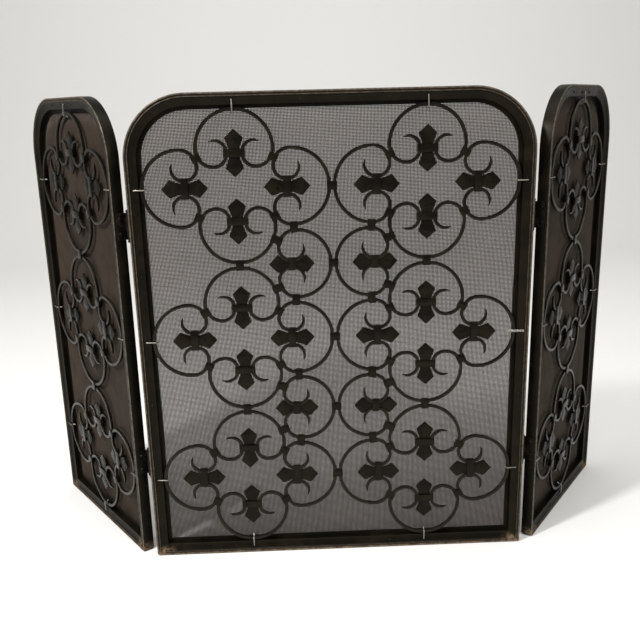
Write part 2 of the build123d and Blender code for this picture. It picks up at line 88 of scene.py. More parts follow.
class ScreenSizes(bpy.types.PropertyGroup):
    fold: FloatProperty(name="Fold", description="How far a side panel stands back",
                        default=math.radians(54), subtype="ANGLE", unit="ROTATION")
    rail_depth: length("Rail depth", "Depth of the outer wall", 0.019)
    rail_face: length("Rail face", "Width of the rail's front", 0.019)
    rail_wall: length("Rail wall", "Thickness of the outer wall", 0.002)
    corner: length("Corner", "Outer radius of the two top corners", 0.097)
    foot: length("Foot", "Outer radius of the two bottom corners", 0.006)
    bar: length("Bar", "Thickness of the scroll bar", 0.005)
    swell: length("Swell", "How much wider than thick a bar is", 0.0008)
    bar_depth: length("Bar depth", "Front of the scrolls behind the panel's front", 0.0042)
    ring: length("Ring", "Radius of a large ring", 0.0583)
    turn: length("Turn", "Radius of the turn into the volute", 0.0265)
    volute: length("Volute", "Radius of the volute", 0.0202)
    link_ring: length("Link ring", "Radius of a link scroll's ring", 0.0535)
    link_turn: length("Link turn", "Radius of a link scroll's turn", 0.0278)
    fleur_thick: length("Fleur", "Thickness of the fleur plates", 0.002)
    strap: length("Strap", "Thickness of the band strap", 0.001)
    strap_width: length("Strap width", "Width of the joint bands", 0.012)
    fleur_strap_width: length("Fleur strap width", "Width of the fleur bands", 0.0115)
    clip_wire: length("Clip wire", "Thickness of the clips' wire", 0.0021)
    clip_inset: length("Clip inset", "Inset of the clips' holes", 0.011)
    cloth_pitch: length("Cloth pitch", "From wire to wire in the cloth", 0.0254 / 12)
    cloth_wire: length("Cloth wire", "Thickness of the cloth's wires", 0.0012)
    face_rivet: length("Face rivet", "Radius of the rivets in the rails' faces", 0.0017)


class ScreenColours(bpy.types.PropertyGroup):
    paint: colour("Paint", "Black paint", (0.0032, 0.0028, 0.0020))
    paint_warm: colour("Warm paint", "Paint thinned to brown", (0.0085, 0.0064, 0.0036))
    rust: colour("Rust", "Brown steel where the paint has gone", (0.060, 0.032, 0.016))
    # Bare steel also paints a highlight line along the rails' bead and ridge.
    bare: colour("Bare steel", "Bare metal on rubbed edges", (0.24, 0.21, 0.165))
    worn: colour("Worn edge", "Tan undercoat and bare steel at the foot", (0.20, 0.135, 0.082))
    cloth: colour("Cloth", "Painted wire cloth", (0.037, 0.028, 0.0215))
    clip: colour("Clip", "Dull steel wire", (0.28, 0.265, 0.23))
    floor: colour("Floor", "Pale floor", (0.80, 0.79, 0.77))


def sizes():
    return bpy.context.scene.screen_sizes


def colours():
    return bpy.context.scene.screen_colours


# ---- the frame's places

def panel_places():
    """One dict for each panel. Its place brings x across the panel, y back from its front and z up
    into the shared frame."""
    panels = []
    for name, side in PANEL_SIDES:
        turn = Matrix.Rotation(side * sizes().fold, 4, "Z")
        back = turn.inverted()
        points = [back @ v.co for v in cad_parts[f"{name}_arch_rail"].data.vertices]
        left = min(p.x for p in points)
        right = max(p.x for p in points)
        front = min(p.y for p in points)
        place = turn @ Matrix.Translation(((left + right) / 2, front, 0))
        roses = []
        for node in sorted(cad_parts):
            if node.startswith(f"{name}_scrolls_"):
                low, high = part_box(node)
                middle = place.inverted() @ ((low + high) / 2)
                roses.append((node, middle.x, middle.z))
        panels.append({"name": name, "side": side, "body": f"{name}_panel", "place": place,
                       "width": right - left, "height": max(p.z for p in points), "roses": roses})
    return panels


def levels(values):
    """The different values in order, read to a thousandth of a millimetre."""
    return sorted(set(round(v, 6) for v in values))


def rose_reach():
    """From a quatrefoil's centre to the crowns at its side and its top."""
    low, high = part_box("centre_scrolls_middle_left")
    return (high.x - low.x - sizes().bar) / 2, (high.z - low.z - sizes().bar) / 2


def rose_places(panel):
    return [at for _, x, z in panel["roses"] for at in rose_scrolls(x, z)]


def bar_middle():
    """How deep the middle of the scroll bars lies behind a panel's front."""
    return sizes().bar_depth + sizes().bar / 2


def rose_scrolls(x, z):
    """Place (x, z, turn) of the four scrolls of a quatrefoil, by their ring centres."""
    half_width, half_height = rose_reach()
    across = half_width - sizes().ring
    rise = half_height - sizes().ring
    quarter = math.radians(90)
    return [(x, z + rise, 0), (x - across, z, quarter), (x, z - rise, 2 * quarter),
            (x + across, z, -quarter)]


def link_scrolls():
    """Places of the small scrolls between the rows of the centre panel."""
    s = sizes()
    low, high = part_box("centre_link_scrolls")
    x = high.x - s.bar / 2 - s.link_turn
    rows = (low.z + s.link_ring + s.bar / 2, high.z - s.link_ring - s.bar / 2)
    return [(hand * x, z, hand * math.radians(90)) for hand in (-1, 1) for z in rows]


def flat(x, z, turn=0.0, depth=0.0):
    """Places a shape drawn flat in x and y in a panel's plane, turned about its own middle."""
    return Matrix.Translation((x, depth, z)) @ UPRIGHT @ Matrix.Rotation(turn, 4, "Z")


# ---- modelling helpers

def deselect():
    if bpy.context.object and bpy.context.object.mode != "OBJECT":
        object_mode()
    bpy.ops.object.select_all(action="DESELECT")


def choose(*objs):
    deselect()
    for obj in objs:
        obj.select_set(True)
    bpy.context.view_layer.objects.active = objs[0]


def object_mode():
    bpy.ops.object.mode_set(mode="OBJECT")


def edit(mode="EDGE"):
    bpy.ops.object.mode_set(mode="EDIT")
    bpy.ops.mesh.select_mode(type=mode)


def pick(obj, test, kind="polygons"):
    """Selects only the faces, edges or vertices that pass a test, and goes to edit mode."""
    mode = {"polygons": "FACE", "edges": "EDGE", "vertices": "VERT"}[kind]
    edit(mode)
    bpy.ops.mesh.select_all(action="DESELECT")
    object_mode()
    for item in getattr(obj.data, kind):
        item.select = test(item)
    edit(mode)


def apply_modifiers(obj):
    choose(obj)
    for modifier in list(obj.modifiers):
        bpy.ops.object.modifier_apply(modifier=modifier.name)


def mirror_over(obj, axis, join):
    """Adds the other half of a shape, across its middle on x or y."""
    mirror = obj.modifiers.new("other half", "MIRROR")
    mirror.use_axis = (axis == "X", axis == "Y", False)
    mirror.merge_threshold = join


def soften_edges(obj, width, degrees=30):
    edge = obj.modifiers.new("soft edge", "BEVEL")
    edge.width = width
    edge.segments = 2
    edge.limit_method = "ANGLE"
    edge.angle_limit = math.radians(degrees)


def close_up(obj, join=0.00002):
    """Merges doubled points and turns the faces outwards."""
    choose(obj)
    edit()
    bpy.ops.mesh.select_all(action="SELECT")
    bpy.ops.mesh.remove_doubles(threshold=join)
    bpy.ops.mesh.normals_make_consistent(inside=False)
    object_mode()


def smooth(obj, degrees=35):
    choose(obj)
    bpy.ops.object.shade_smooth_by_angle(angle=math.radians(degrees))


def copies(pattern, places):
    """Copies of a finished pattern, each with its own mesh, at each place."""
    made = []
    for place in places:
        copy = pattern.copy()
        copy.data = pattern.data.copy()
        bpy.context.scene.collection.objects.link(copy)
        copy.data.transform(place)
        made.append(copy)
    return made


def joined(objs, name):
    choose(*objs)
    if len(objs) > 1:
        bpy.ops.object.join()
    obj = bpy.context.object
    obj.name = name
    obj.data.name = name
    return obj


def discard(*objs):
    for obj in objs:
        bpy.data.objects.remove(obj, do_unlink=True)


def finish_piece(obj, body, slot, finish, *nodes):
    """Gives a piece its material and its body, and hides the CAD nodes that it stands for."""
    obj.data.materials.clear()
    obj.data.materials.append(finish)
    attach(obj, body)
    if nodes:
        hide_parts(*nodes)
    return obj


class Sweep:
    """Draws a closed section along runs and bends in the flat x, y plane, in edit mode."""

    def __init__(self, section, start, heading):
        """section holds (left of the heading, height) points; start and heading are flat vectors."""
        self.at = Vector((start[0], start[1], 0))
        self.heading = Vector((heading[0], heading[1], 0)).normalized()
        deselect()
        bpy.ops.mesh.primitive_circle_add(vertices=len(section), radius=1, fill_type="NOTHING")
        self.obj = bpy.context.object
        left = self.left()
        for vertex, (aside, height) in zip(self.obj.data.vertices, section):
            vertex.co = self.at + left * aside + UP * height
        edit()
        bpy.ops.mesh.select_all(action="SELECT")

    def left(self):
        return UP.cross(self.heading)

    def cap(self):
        bpy.ops.mesh.edge_face_add()
        bpy.ops.mesh.select_mode(type="EDGE")

    def run(self, distance):
        step = self.heading * distance
        bpy.ops.mesh.extrude_region_move(TRANSFORM_OT_translate={"value": step})
        self.at += step

    def bend(self, radius, degrees, steps):
        """Positive degrees turn left."""
        sense = 1 if degrees > 0 else -1
        centre = self.at + self.left() * radius * sense
        angle = math.radians(degrees)
        bpy.ops.mesh.spin(steps=steps, angle=-angle, center=centre, axis=UP)
        turn = Matrix.Rotation(angle, 3, "Z")
        self.at = centre + turn @ (self.at - centre)
        self.heading = turn @ self.heading

    def scale(self, plane, height):
        bpy.ops.transform.resize(value=(plane, plane, height), center_override=self.at)

    def shift(self, aside):
        step = self.left() * aside
        bpy.ops.transform.translate(value=step)
        self.at += step

    def done(self):
        object_mode()
        return self.obj


def round_section(radius, count):
    return [(radius * math.cos(2 * math.pi * k / count), radius * math.sin(2 * math.pi * k / count))
            for k in range(count)]


def soft_square(half, count=12, squareness=0.45):
    """A square section with worn corners."""
    points = []
    for k in range(count):
        angle = 2 * math.pi * (k + 0.5) / count
        reach = half * max(abs(math.cos(angle)), abs(math.sin(angle))) ** -squareness
        points.append((reach * math.cos(angle), reach * math.sin(angle)))
    return points


# ---- materials

class Graph:
    """Adds nodes to a tree and joins them up in few words."""

    def __init__(self, tree):
        self.tree = tree

    def node(self, kind, values=None, **settings):
        made = self.tree.nodes.new(kind)
        for key, value in settings.items():
            setattr(made, key, value)
        for key, value in (values or {}).items():
            if isinstance(value, bpy.types.NodeSocket):
                self.tree.links.new(value, made.inputs[key])
            else:
                made.inputs[key].default_value = value
        return made

    def math(self, operation, first, second=0.0, clamp=False):
        return self.node("ShaderNodeMath", {0: first, 1: second}, operation=operation,
                         use_clamp=clamp).outputs[0]

    def times(self, first, second):
        return self.math("MULTIPLY", first, second)

    def below(self, value, low, high):
        """1 below low, 0 above high, eased between them."""
        return self.math("SUBTRACT", 1.0, self.ramp(value, low, high))

    def ramp(self, value, low, high):
        """0 below low, 1 above high, eased between them."""
        return self.node("ShaderNodeMapRange", {"Value": value, "From Min": low, "From Max": high},
                         interpolation_type="SMOOTHSTEP").outputs["Result"]

    def scaled(self, value, low, high):
        """A value from 0 to 1 brought to a range."""
        return self.node("ShaderNodeMapRange", {"Value": value, "To Min": low, "To Max": high}
                         ).outputs["Result"]

    def mix(self, share, first, second):
        made = self.node("ShaderNodeMix", data_type="RGBA")
        for key, value in ((0, share), (6, first), (7, second)):
            if isinstance(value, bpy.types.NodeSocket):
                self.tree.links.new(value, made.inputs[key])
            else:
                made.inputs[key].default_value = value if key == 0 else (*value, 1)
        return made.outputs[2]

    def noise(self, vector, scale, detail=3.0, rough=0.55):
        return self.node("ShaderNodeTexNoise", {"Vector": vector, "Scale": scale, "Detail": detail,
                                                "Roughness": rough}).outputs["Fac"]


def new_group(name, inputs, outputs):
    """An empty node group with its sockets; gives its graph, its input node and its output node."""
    tree = bpy.data.node_groups.new(name, "ShaderNodeTree")
    for label, kind, default in inputs:
        socket = tree.interface.new_socket(label, in_out="INPUT", socket_type=kind)
        if default is not None:
            socket.default_value = default
    for label, kind in outputs:
        tree.interface.new_socket(label, in_out="OUTPUT", socket_type=kind)
    graph = Graph(tree)
    return graph, graph.node("NodeGroupInput"), graph.node("NodeGroupOutput")


def aged_paint_group():
    """Blotches, specks and brush marks of old black paint, as masks and a height."""
    name = "aged_paint"
    if name in bpy.data.node_groups:
        return bpy.data.node_groups[name]
    g, start, end = new_group(
        name,
        [("Position", "NodeSocketVector", None), ("Speck Size", "NodeSocketFloat", 900.0)],
        [("Blotch", "NodeSocketFloat"), ("Speck", "NodeSocketFloat"), ("Height", "NodeSocketFloat")])
    place = start.outputs["Position"]
    blotch = g.ramp(g.noise(place, 28.0, 5.0, 0.6), 0.42, 0.68)
    fine = g.noise(place, start.outputs["Speck Size"], 2.0, 0.5)
    speck = g.times(g.ramp(fine, 0.66, 0.72), g.ramp(g.noise(place, 60.0), 0.5, 0.7))
    ripple = g.noise(place, 420.0, 2.0, 0.6)
    height = g.math("ADD", g.times(ripple, 0.6), g.times(fine, 0.4))
    for label, value in (("Blotch", blotch), ("Speck", speck), ("Height", height)):
        g.tree.links.new(value, end.inputs[label])
    return g.tree


def rail_wear_and_highlight_group():
    """Where a rail is rubbed or dusty, from its place in the panel: bead and ridge, foot, groove. The
    bead and ridge mask is rubbed steel and also a painted highlight line.
    """
    name = "rail_wear"
    if name in bpy.data.node_groups:
        return bpy.data.node_groups[name]
    g, start, end = new_group(
        name,
        [("Place", "NodeSocketVector", None), ("Half Width", "NodeSocketFloat", 0.3),
         ("Height", "NodeSocketFloat", 0.76), ("Corner", "NodeSocketFloat", 0.1)],
        [("Bead", "NodeSocketFloat"), ("Foot", "NodeSocketFloat"), ("Groove", "NodeSocketFloat")])
    place = start.outputs["Place"]
    parts = g.node("ShaderNodeSeparateXYZ", {0: place}).outputs
    corner = start.outputs["Corner"]
    over_x = g.math("SUBTRACT", g.math("ABSOLUTE", parts[0]),
                    g.math("SUBTRACT", start.outputs["Half Width"], corner))
    over_z = g.math("SUBTRACT", parts[2], g.math("SUBTRACT", start.outputs["Height"], corner))
    round_x = g.math("MAXIMUM", over_x, 0.0)
    round_z = g.math("MAXIMUM", over_z, 0.0)
    span = g.math("SQRT", g.math("ADD", g.times(round_x, round_x), g.times(round_z, round_z)))
    inner = g.math("MINIMUM", g.math("MAXIMUM", over_x, over_z), 0.0)
    arch = g.math("SUBTRACT", corner, g.math("ADD", span, inner))
    inset = g.math("MINIMUM", arch, parts[2])
    # Rubbed steel on the bead and ridge top never falls below a third, so it is also a painted
    # highlight line along them.
    rubbed = g.scaled(g.ramp(g.noise(place, 130.0, 6.0, 0.7), 0.40, 0.62), 0.35, 1.0)
    on_bead = g.times(g.below(parts[1], 0.0004, 0.0016), g.below(inset, 0.0020, 0.0032))
    ridge_top = g.times(g.ramp(inset, 0.0049, 0.0053), g.below(inset, 0.0061, 0.0066))
    ridge = g.times(g.times(ridge_top, g.below(parts[1], 0.0011, 0.0016)), rubbed)
    bead = g.math("MAXIMUM", g.times(on_bead, rubbed), g.times(ridge, 0.6))
    corner_foot = g.times(g.below(parts[2], 0.006, 0.020), g.ramp(over_x, 0.060, 0.085))
    reach = g.math("MAXIMUM", g.below(parts[2], 0.0015, 0.0045), corner_foot)
    foot = g.times(reach, g.ramp(g.noise(place, 160.0, 6.0, 0.7), 0.42, 0.56))
    groove = g.times(g.ramp(inset, 0.0030, 0.0036), g.below(inset, 0.0046, 0.0052))
    for label, value in (("Bead", bead), ("Foot", foot), ("Groove", groove)):
        g.tree.links.new(value, end.inputs[label])
    return g.tree


def new_material(name):
    """A material with its Principled shader; gives the material, its graph and the shader."""
    material = bpy.data.materials.new(name)
    material.use_nodes = True
    graph = Graph(material.node_tree)
    shader = next(n for n in material.node_tree.nodes if n.type == "BSDF_PRINCIPLED")
    return material, graph, shader


def link(graph, shader, **sockets):
    for label, value in sockets.items():
        graph.tree.links.new(value, shader.inputs[label.replace("_", " ")])


def paint_layers(graph, speck_size=900.0, place=None):
    """The aged paint group on object coordinates."""
    where = place or graph.node("ShaderNodeTexCoord").outputs["Object"]
    made = graph.node("ShaderNodeGroup", node_tree=aged_paint_group())
    graph.tree.links.new(where, made.inputs["Position"])
    made.inputs["Speck Size"].default_value = speck_size
    return where, made.outputs


def bump(graph, height, strength, distance):
    return graph.node("ShaderNodeBump", {"Height": height, "Strength": strength, "Distance": distance}
                      ).outputs["Normal"]


def rail_paint(panel):
    """Satin black rail: rubbed beads with a painted highlight line along them, brown foot, dust in the
    groove.
    """
    c = colours()
    material, g, shader = new_material(f"rail_paint_{panel['name']}")
    where = g.node("ShaderNodeTexCoord").outputs["Object"]
    back = panel["place"].inverted()
    turned = g.node("ShaderNodeMapping", {"Vector": where, "Location": back.translation,
                                          "Rotation": back.to_euler()}, vector_type="POINT")
    place = turned.outputs["Vector"]
    _, paint = paint_layers(g, place=place)
    wear_and_highlight = g.node("ShaderNodeGroup", {"Place": place}, node_tree=rail_wear_and_highlight_group())
    wear_and_highlight.inputs["Half Width"].default_value = panel["width"] / 2
    wear_and_highlight.inputs["Height"].default_value = panel["height"]
    wear_and_highlight.inputs["Corner"].default_value = sizes().corner
    thin = g.mix(g.scaled(paint["Blotch"], 0.0, 0.7), c.paint, c.paint_warm)
    dusty = g.mix(g.times(wear_and_highlight.outputs["Groove"], 0.35), thin, c.rust)
    footed = g.mix(g.times(wear_and_highlight.outputs["Foot"], 0.7), dusty, c.worn)
    chipped = g.mix(g.times(paint["Speck"], 0.5), footed, c.rust)
    # Bare steel on the bead and ridge: partly rubbed wear, partly a painted highlight line.
    base = g.mix(g.times(wear_and_highlight.outputs["Bead"], 0.55), chipped, c.bare)
    rough = g.math("ADD", g.scaled(paint["Blotch"], 0.30, 0.44),
                   g.times(wear_and_highlight.outputs["Foot"], 0.25), clamp=True)
    metal = g.times(wear_and_highlight.outputs["Bead"], 0.5)
    link(g, shader, Base_Color=base, Roughness=rough, Metallic=metal,
         Normal=bump(g, paint["Height"], 0.22, 0.0004))
    shader.inputs["Specular IOR Level"].default_value = 0.10
    shader.inputs["Specular Tint"].default_value = (1.0, 0.88, 0.68, 1)
    return material


def black_iron(name, rough_low, rough_high, bump_scale, dents=70.0, shine=0.10):
    """Satin black forged iron, with hammer dents under the paint."""
    c = colours()
    material, g, shader = new_material(name)
    where, paint = paint_layers(g)
    dent = g.node("ShaderNodeTexVoronoi", {"Vector": where, "Scale": dents}, feature="SMOOTH_F1"
                  ).outputs["Distance"]
    base = g.mix(g.scaled(paint["Blotch"], 0.0, 0.8), c.paint, c.paint_warm)
    base = g.mix(g.times(paint["Speck"], 0.45), base, c.rust)
    height = g.math("ADD", g.times(paint["Height"], 0.35), dent)
    link(g, shader, Base_Color=base, Roughness=g.scaled(paint["Blotch"], rough_low, rough_high),
         Normal=bump(g, height, bump_scale, 0.0015))
    shader.inputs["Specular IOR Level"].default_value = shine
    shader.inputs["Specular Tint"].default_value = (1.0, 0.90, 0.74, 1)
    return material


def cloth_wire():
    """Painted cloth wire, a little brown, rubbed bright in places."""
    c = colours()
    material, g, shader = new_material("cloth_wire")
    where, paint = paint_layers(g, 700.0)
    drift = g.ramp(g.noise(where, 3.0, 2.0), 0.35, 0.65)
    base = g.mix(g.scaled(paint["Blotch"], 0.0, 0.35), c.cloth, c.paint_warm)
    base = g.mix(g.times(drift, 0.15), base, c.rust)
    link(g, shader, Base_Color=base, Roughness=g.scaled(paint["Blotch"], 0.40, 0.5),
         Normal=bump(g, paint["Height"], 0.1, 0.0002))
    shader.inputs["Specular IOR Level"].default_value = 0.2
    shader.inputs["Specular Tint"].default_value = (1.0, 0.91, 0.82, 1)
    return material


def clip_steel():
    """Bare steel wire, dulled, with brown specks."""
    c = colours()
    material, g, shader = new_material("clip_steel")
    _, paint = paint_layers(g, 1500.0)
    base = g.mix(g.scaled(paint["Blotch"], 0.0, 0.55), c.clip, c.rust)
    link(g, shader, Base_Color=base, Roughness=g.scaled(paint["Blotch"], 0.28, 0.5),
         Normal=bump(g, paint["Height"], 0.2, 0.0002))
    shader.inputs["Metallic"].default_value = 0.85
    return material


def hinge_iron():
    """Black paint worn to brown steel where the knuckles rub."""
    c = colours()
    material, g, shader = new_material("hinge_iron")
    where, paint = paint_layers(g, 800.0)
    worn = g.ramp(g.noise(where, 110.0, 5.0, 0.65), 0.50, 0.62)
    base = g.mix(g.times(worn, 0.22), c.paint, c.rust)
    link(g, shader, Base_Color=base, Roughness=g.scaled(worn, 0.34, 0.55),
         Metallic=g.times(worn, 0.15), Normal=bump(g, paint["Height"], 0.3, 0.0003))
    shader.inputs["Specular IOR Level"].default_value = 0.15
    return material


# ---- rails

def rail_section():
    """Rolled rail as (inset, depth): outer wall, round bead, groove, ridge, falling face and lip."""
    s = sizes()
    bead = [(1.5 - 1.5 * math.cos(math.radians(a)), 1.5 - 1.5 * math.sin(math.radians(a)))
            for a in range(0, 151, 25)]
    front = bead + [(3.5, 1.75), (4.1, 1.9), (4.6, 1.75), (5.1, 1.15), (5.6, 0.92), (6.2, 0.92),
                    (6.7, 1.2), (7.2, 2.3), (7.6, 2.62), (17.6, 4.25), (18.5, 4.5)]
    lip = [(s.rail_face / MM, 5.1), (s.rail_face / MM, 13.6), (s.rail_face / MM - 1.6, 13.6),
           (s.rail_face / MM - 1.6, 6.2)]
    wall = s.rail_wall / MM
    depth = s.rail_depth / MM
    back = [(wall, 4.4), (wall, depth - 0.3), (wall - 0.3, depth), (0.3, depth), (0, depth - 0.3)]
    return [(inset * MM, deep * MM) for inset, deep in front + lip + back]


def cut(corner, normal):
    """Cuts away what lies on the side that the normal points to, and closes the cut."""
    bpy.ops.mesh.select_all(action="SELECT")
    bpy.ops.mesh.bisect(plane_co=corner, plane_no=normal, use_fill=True, clear_outer=True)


def half_rail(sweep, half_width, mitre):
    """Mitres and rounds the foot of a left half, then mirrors it."""
    s = sizes()
    corner = Vector((-half_width, 0, 0))
    cut(corner, mitre.normalized())
    middle = corner + Vector((s.foot, s.foot, 0))
    for degrees in (9, 27, 45, 63, 81):
        angle = math.radians(degrees)
        outward = Vector((-math.cos(angle), -math.sin(angle), 0))
        cut(middle + outward * s.foot * 1.012, outward)
    rail = sweep.done()
    mirror_over(rail, "X", 0.00005)
    apply_modifiers(rail)
    return rail


def arch_rail(panel):
    """Both sides and the top in one strip: drawn up the left side and over to the middle."""
    s = sizes()
    half = panel["width"] / 2
    section = [(-inset, -deep) for inset, deep in rail_section()]
    sweep = Sweep(section, (-half, 0), (0, 1))
    sweep.run(panel["height"] - s.corner)
    sweep.bend(s.corner, -90, 28)
    sweep.run(half - s.corner)
    return half_rail(sweep, half, Vector((1, -1, 0)))


def bottom_rail(panel):
    half = panel["width"] / 2
    section = [(inset, -deep) for inset, deep in rail_section()]
    sweep = Sweep(section, (-half, 0), (1, 0))
    sweep.run(half)
    return half_rail(sweep, half, Vector((-1, 1, 0)))


def make_rails():
    for panel in panel_places():
        paint = rail_paint(panel)
        for draw, node in ((arch_rail, "arch_rail"), (bottom_rail, "bottom_rail")):
            rail = draw(panel)
            rail.data.transform(panel["place"] @ UPRIGHT)
            close_up(rail)
            smooth(rail, 32)
            name = f"{panel['name']}_{node}"
            rail = joined([rail], f"{name}_rolled")
            finish_piece(rail, panel["body"], "frame", paint, name)


def make_face_rivets():
    """Low rivet heads that show in the rails' faces, clear of the clips."""
    s = sizes()
    iron = black_iron("rivet_iron", 0.25, 0.4, 0.2, shine=0.2)
    deselect()
    bpy.ops.mesh.primitive_uv_sphere_add(segments=16, ring_count=8, radius=s.face_rivet)
    head = bpy.context.object
    edit()
    cut((0, 0, 0), (0, 0, -1))
    bpy.ops.transform.resize(value=(1, 1, 0.45), center_override=(0, 0, 0))
    object_mode()
    close_up(head)
    smooth(head, 40)
    inset, face_depth = 12.5 * MM, 3.45 * MM
    for panel in panel_places():
        edge = panel["width"] / 2 - inset
        heights = [panel["height"] * share for share in (0.09, 0.36, 0.64, 0.82)]
        spots = [(hand * edge, z) for hand in (-1, 1) for z in heights]
        across = (panel["width"] / 2 - s.corner) * 0.82
        spots += [(x, z) for x in (-across, -across / 4, across / 2)
                  for z in (inset, panel["height"] - inset)]
        heads = copies(head, [panel["place"] @ flat(x, z, 0, face_depth) for x, z in spots])
        rivets = joined(heads, f"{panel['name']}_face_rivets")
        finish_piece(rivets, panel["body"], "rivet", iron)
    discard(head)


# ---- wire cloth

def cloth_half_height(x, half_width, top, corner):
    """Height of the arch's inner edge at a distance from its middle."""
    over = abs(x) - (half_width - corner)
    if over <= 0:
        return top
    return top - corner + math.sqrt(max(corner * corner - over * over, 0.0))


def wire_pattern(divisions):
    """A wire one metre long along x, with rings to bend it by."""
    s = sizes()
    deselect()
    bpy.ops.mesh.primitive_cylinder_add(vertices=4, radius=s.cloth_wire / 2, depth=1,
                                        rotation=(0, math.radians(90), 0))
    wire = bpy.context.object
    bpy.ops.object.transform_apply(rotation=True)
    pick(wire, lambda e: abs(wire.data.vertices[e.vertices[0]].co.x
                             - wire.data.vertices[e.vertices[1]].co.x) > 0.5, "edges")
    bpy.ops.mesh.subdivide(number_cuts=divisions - 1)
    object_mode()
    return wire


def make_cloth():
    s = sizes()
    finish = cloth_wire()
    tall = wire_pattern(18)
    wide = wire_pattern(12)
    ease = 0.0005
    for panel in panel_places():
        low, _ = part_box(f"{panel['name']}_spark_mesh")
        margin = low.z + ease
        half = panel["width"] / 2 - margin
        top = panel["height"] - margin
        corner = s.corner - margin
        depth = cloth_depth(panel)
        layer = 0.35 * s.cloth_wire
        wires = []
        count = int(2 * half / s.cloth_pitch)
        for k in range(count + 1):
            x = (k - count / 2) * s.cloth_pitch
            reach = cloth_half_height(x, half, top, corner)
            place = (Matrix.Translation((x, depth - layer, (reach + margin) / 2))
                     @ Matrix.Rotation(math.radians(90), 4, "Y")
                     @ Matrix.Diagonal((reach - margin, 1, 1, 1)))
            wires.append((tall, place))
        rows = int((top - margin) / s.cloth_pitch)
        for k in range(rows + 1):
            z = margin + k * s.cloth_pitch
            over = z - (top - corner)
            reach = half if over <= 0 else half - corner + math.sqrt(max(corner ** 2 - over ** 2, 0))
            place = (Matrix.Translation((0, depth + layer, z))
                     @ Matrix.Diagonal((2 * reach, 1, 1, 1)))
            wires.append((wide, place))
        made = []
        for pattern, place in wires:
            made += copies(pattern, [place])
        cloth = joined(made, f"{panel['name']}_wire_cloth")
        stretch(cloth)
        cloth.data.transform(panel["place"])
        smooth(cloth, 180)
        finish_piece(cloth, panel["body"], "wire_cloth", finish, f"{panel['name']}_spark_mesh")
    discard(tall, wide)


def cloth_depth(panel):
    """Middle depth of the cloth, between the seat strip and the clamp strip."""
    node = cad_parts[f"{panel['name']}_spark_mesh"].data
    back = panel["place"].inverted()
    depths = [(back @ v.co).y for v in node.vertices]
    return (min(depths) + max(depths)) / 2


def stretch(cloth):
    """Pulls the cloth a little out of square, as handling does."""
    for axis, size in (("X", 0.11), ("Z", 0.08)):
        clouds = bpy.data.textures.new(f"pull_{axis}", "CLOUDS")
        clouds.noise_scale = size
        pull = cloth.modifiers.new(f"pull_{axis}", "DISPLACE")
        pull.texture = clouds
        pull.texture_coords = "LOCAL"
        pull.direction = axis
        pull.strength = 0.0022
    apply_modifiers(cloth)


# ---- scrollwork

def draw_scroll(ring, turn):
    """Right half of a C-scroll from its crown to the drawn-out tip, then mirrored."""
    s = sizes()
    section = [(aside * (1 + s.swell / s.bar), height) for aside, height in soft_square(s.bar / 2)]
    sweep = Sweep(section, (0, ring), (1, 0))
    # The volute keeps its full size for the first angle and is drawn out over the second.
    full, tapered, curl_in, steps = 118, 79, 2.2 * MM, 11
    sweep.bend(ring, -90, 16)
    sweep.bend(turn, -90, 9)
    sweep.bend(s.volute, -full, 12)
    width = height = 1.0
    for k in range(steps):
        sweep.bend(s.volute, -tapered / steps, 1)
        share = (k + 1) / steps
        thin = 1 - 0.16 * share - 0.70 * share ** 4
        flat_out = 1 - 0.4 * share ** 2
        sweep.scale(thin / width, flat_out / height)
        width, height = thin, flat_out
        sweep.shift(-curl_in * (share ** 2 - (k / steps) ** 2))
    sweep.cap()
    scroll = sweep.done()
    mirror_over(scroll, "X", 0.0001)
    apply_modifiers(scroll)
    close_up(scroll)
    smooth(scroll, 55)
    return scroll


def make_scrolls():
    s = sizes()
    iron = black_iron("scroll_iron", 0.20, 0.32, 0.24, dents=95.0, shine=0.2)
    depth = bar_middle()
    large = draw_scroll(s.ring, s.turn)
    small = draw_scroll(s.link_ring, s.link_turn)
    for panel in panel_places():
        for node, x, z in panel["roses"]:
            places = [panel["place"] @ flat(*at, depth) for at in rose_scrolls(x, z)]
            bars = joined(copies(large, places), f"{node}_forged")
            finish_piece(bars, panel["body"], "scroll", iron, node)
    centre = panel_places()[0]
    places = [centre["place"] @ flat(*at, depth) for at in link_scrolls()]
    bars = joined(copies(small, places), "centre_link_scrolls_forged")
    finish_piece(bars, centre["body"], "scroll", iron, "centre_link_scrolls")
    discard(large, small)


# ---- fleurs

# (distance from the middle, half width) from the pad to the point, in millimetres
FLEUR_EDGE = ((4.0, 8.3), (7.5, 8.7), (11.5, 9.8), (15.0, 11.1), (18.6, 12.5), (21.2, 13.6),
              (22.7, 14.0), (23.8, 13.2), (34.9, 0.9), (35.4, 0.3))


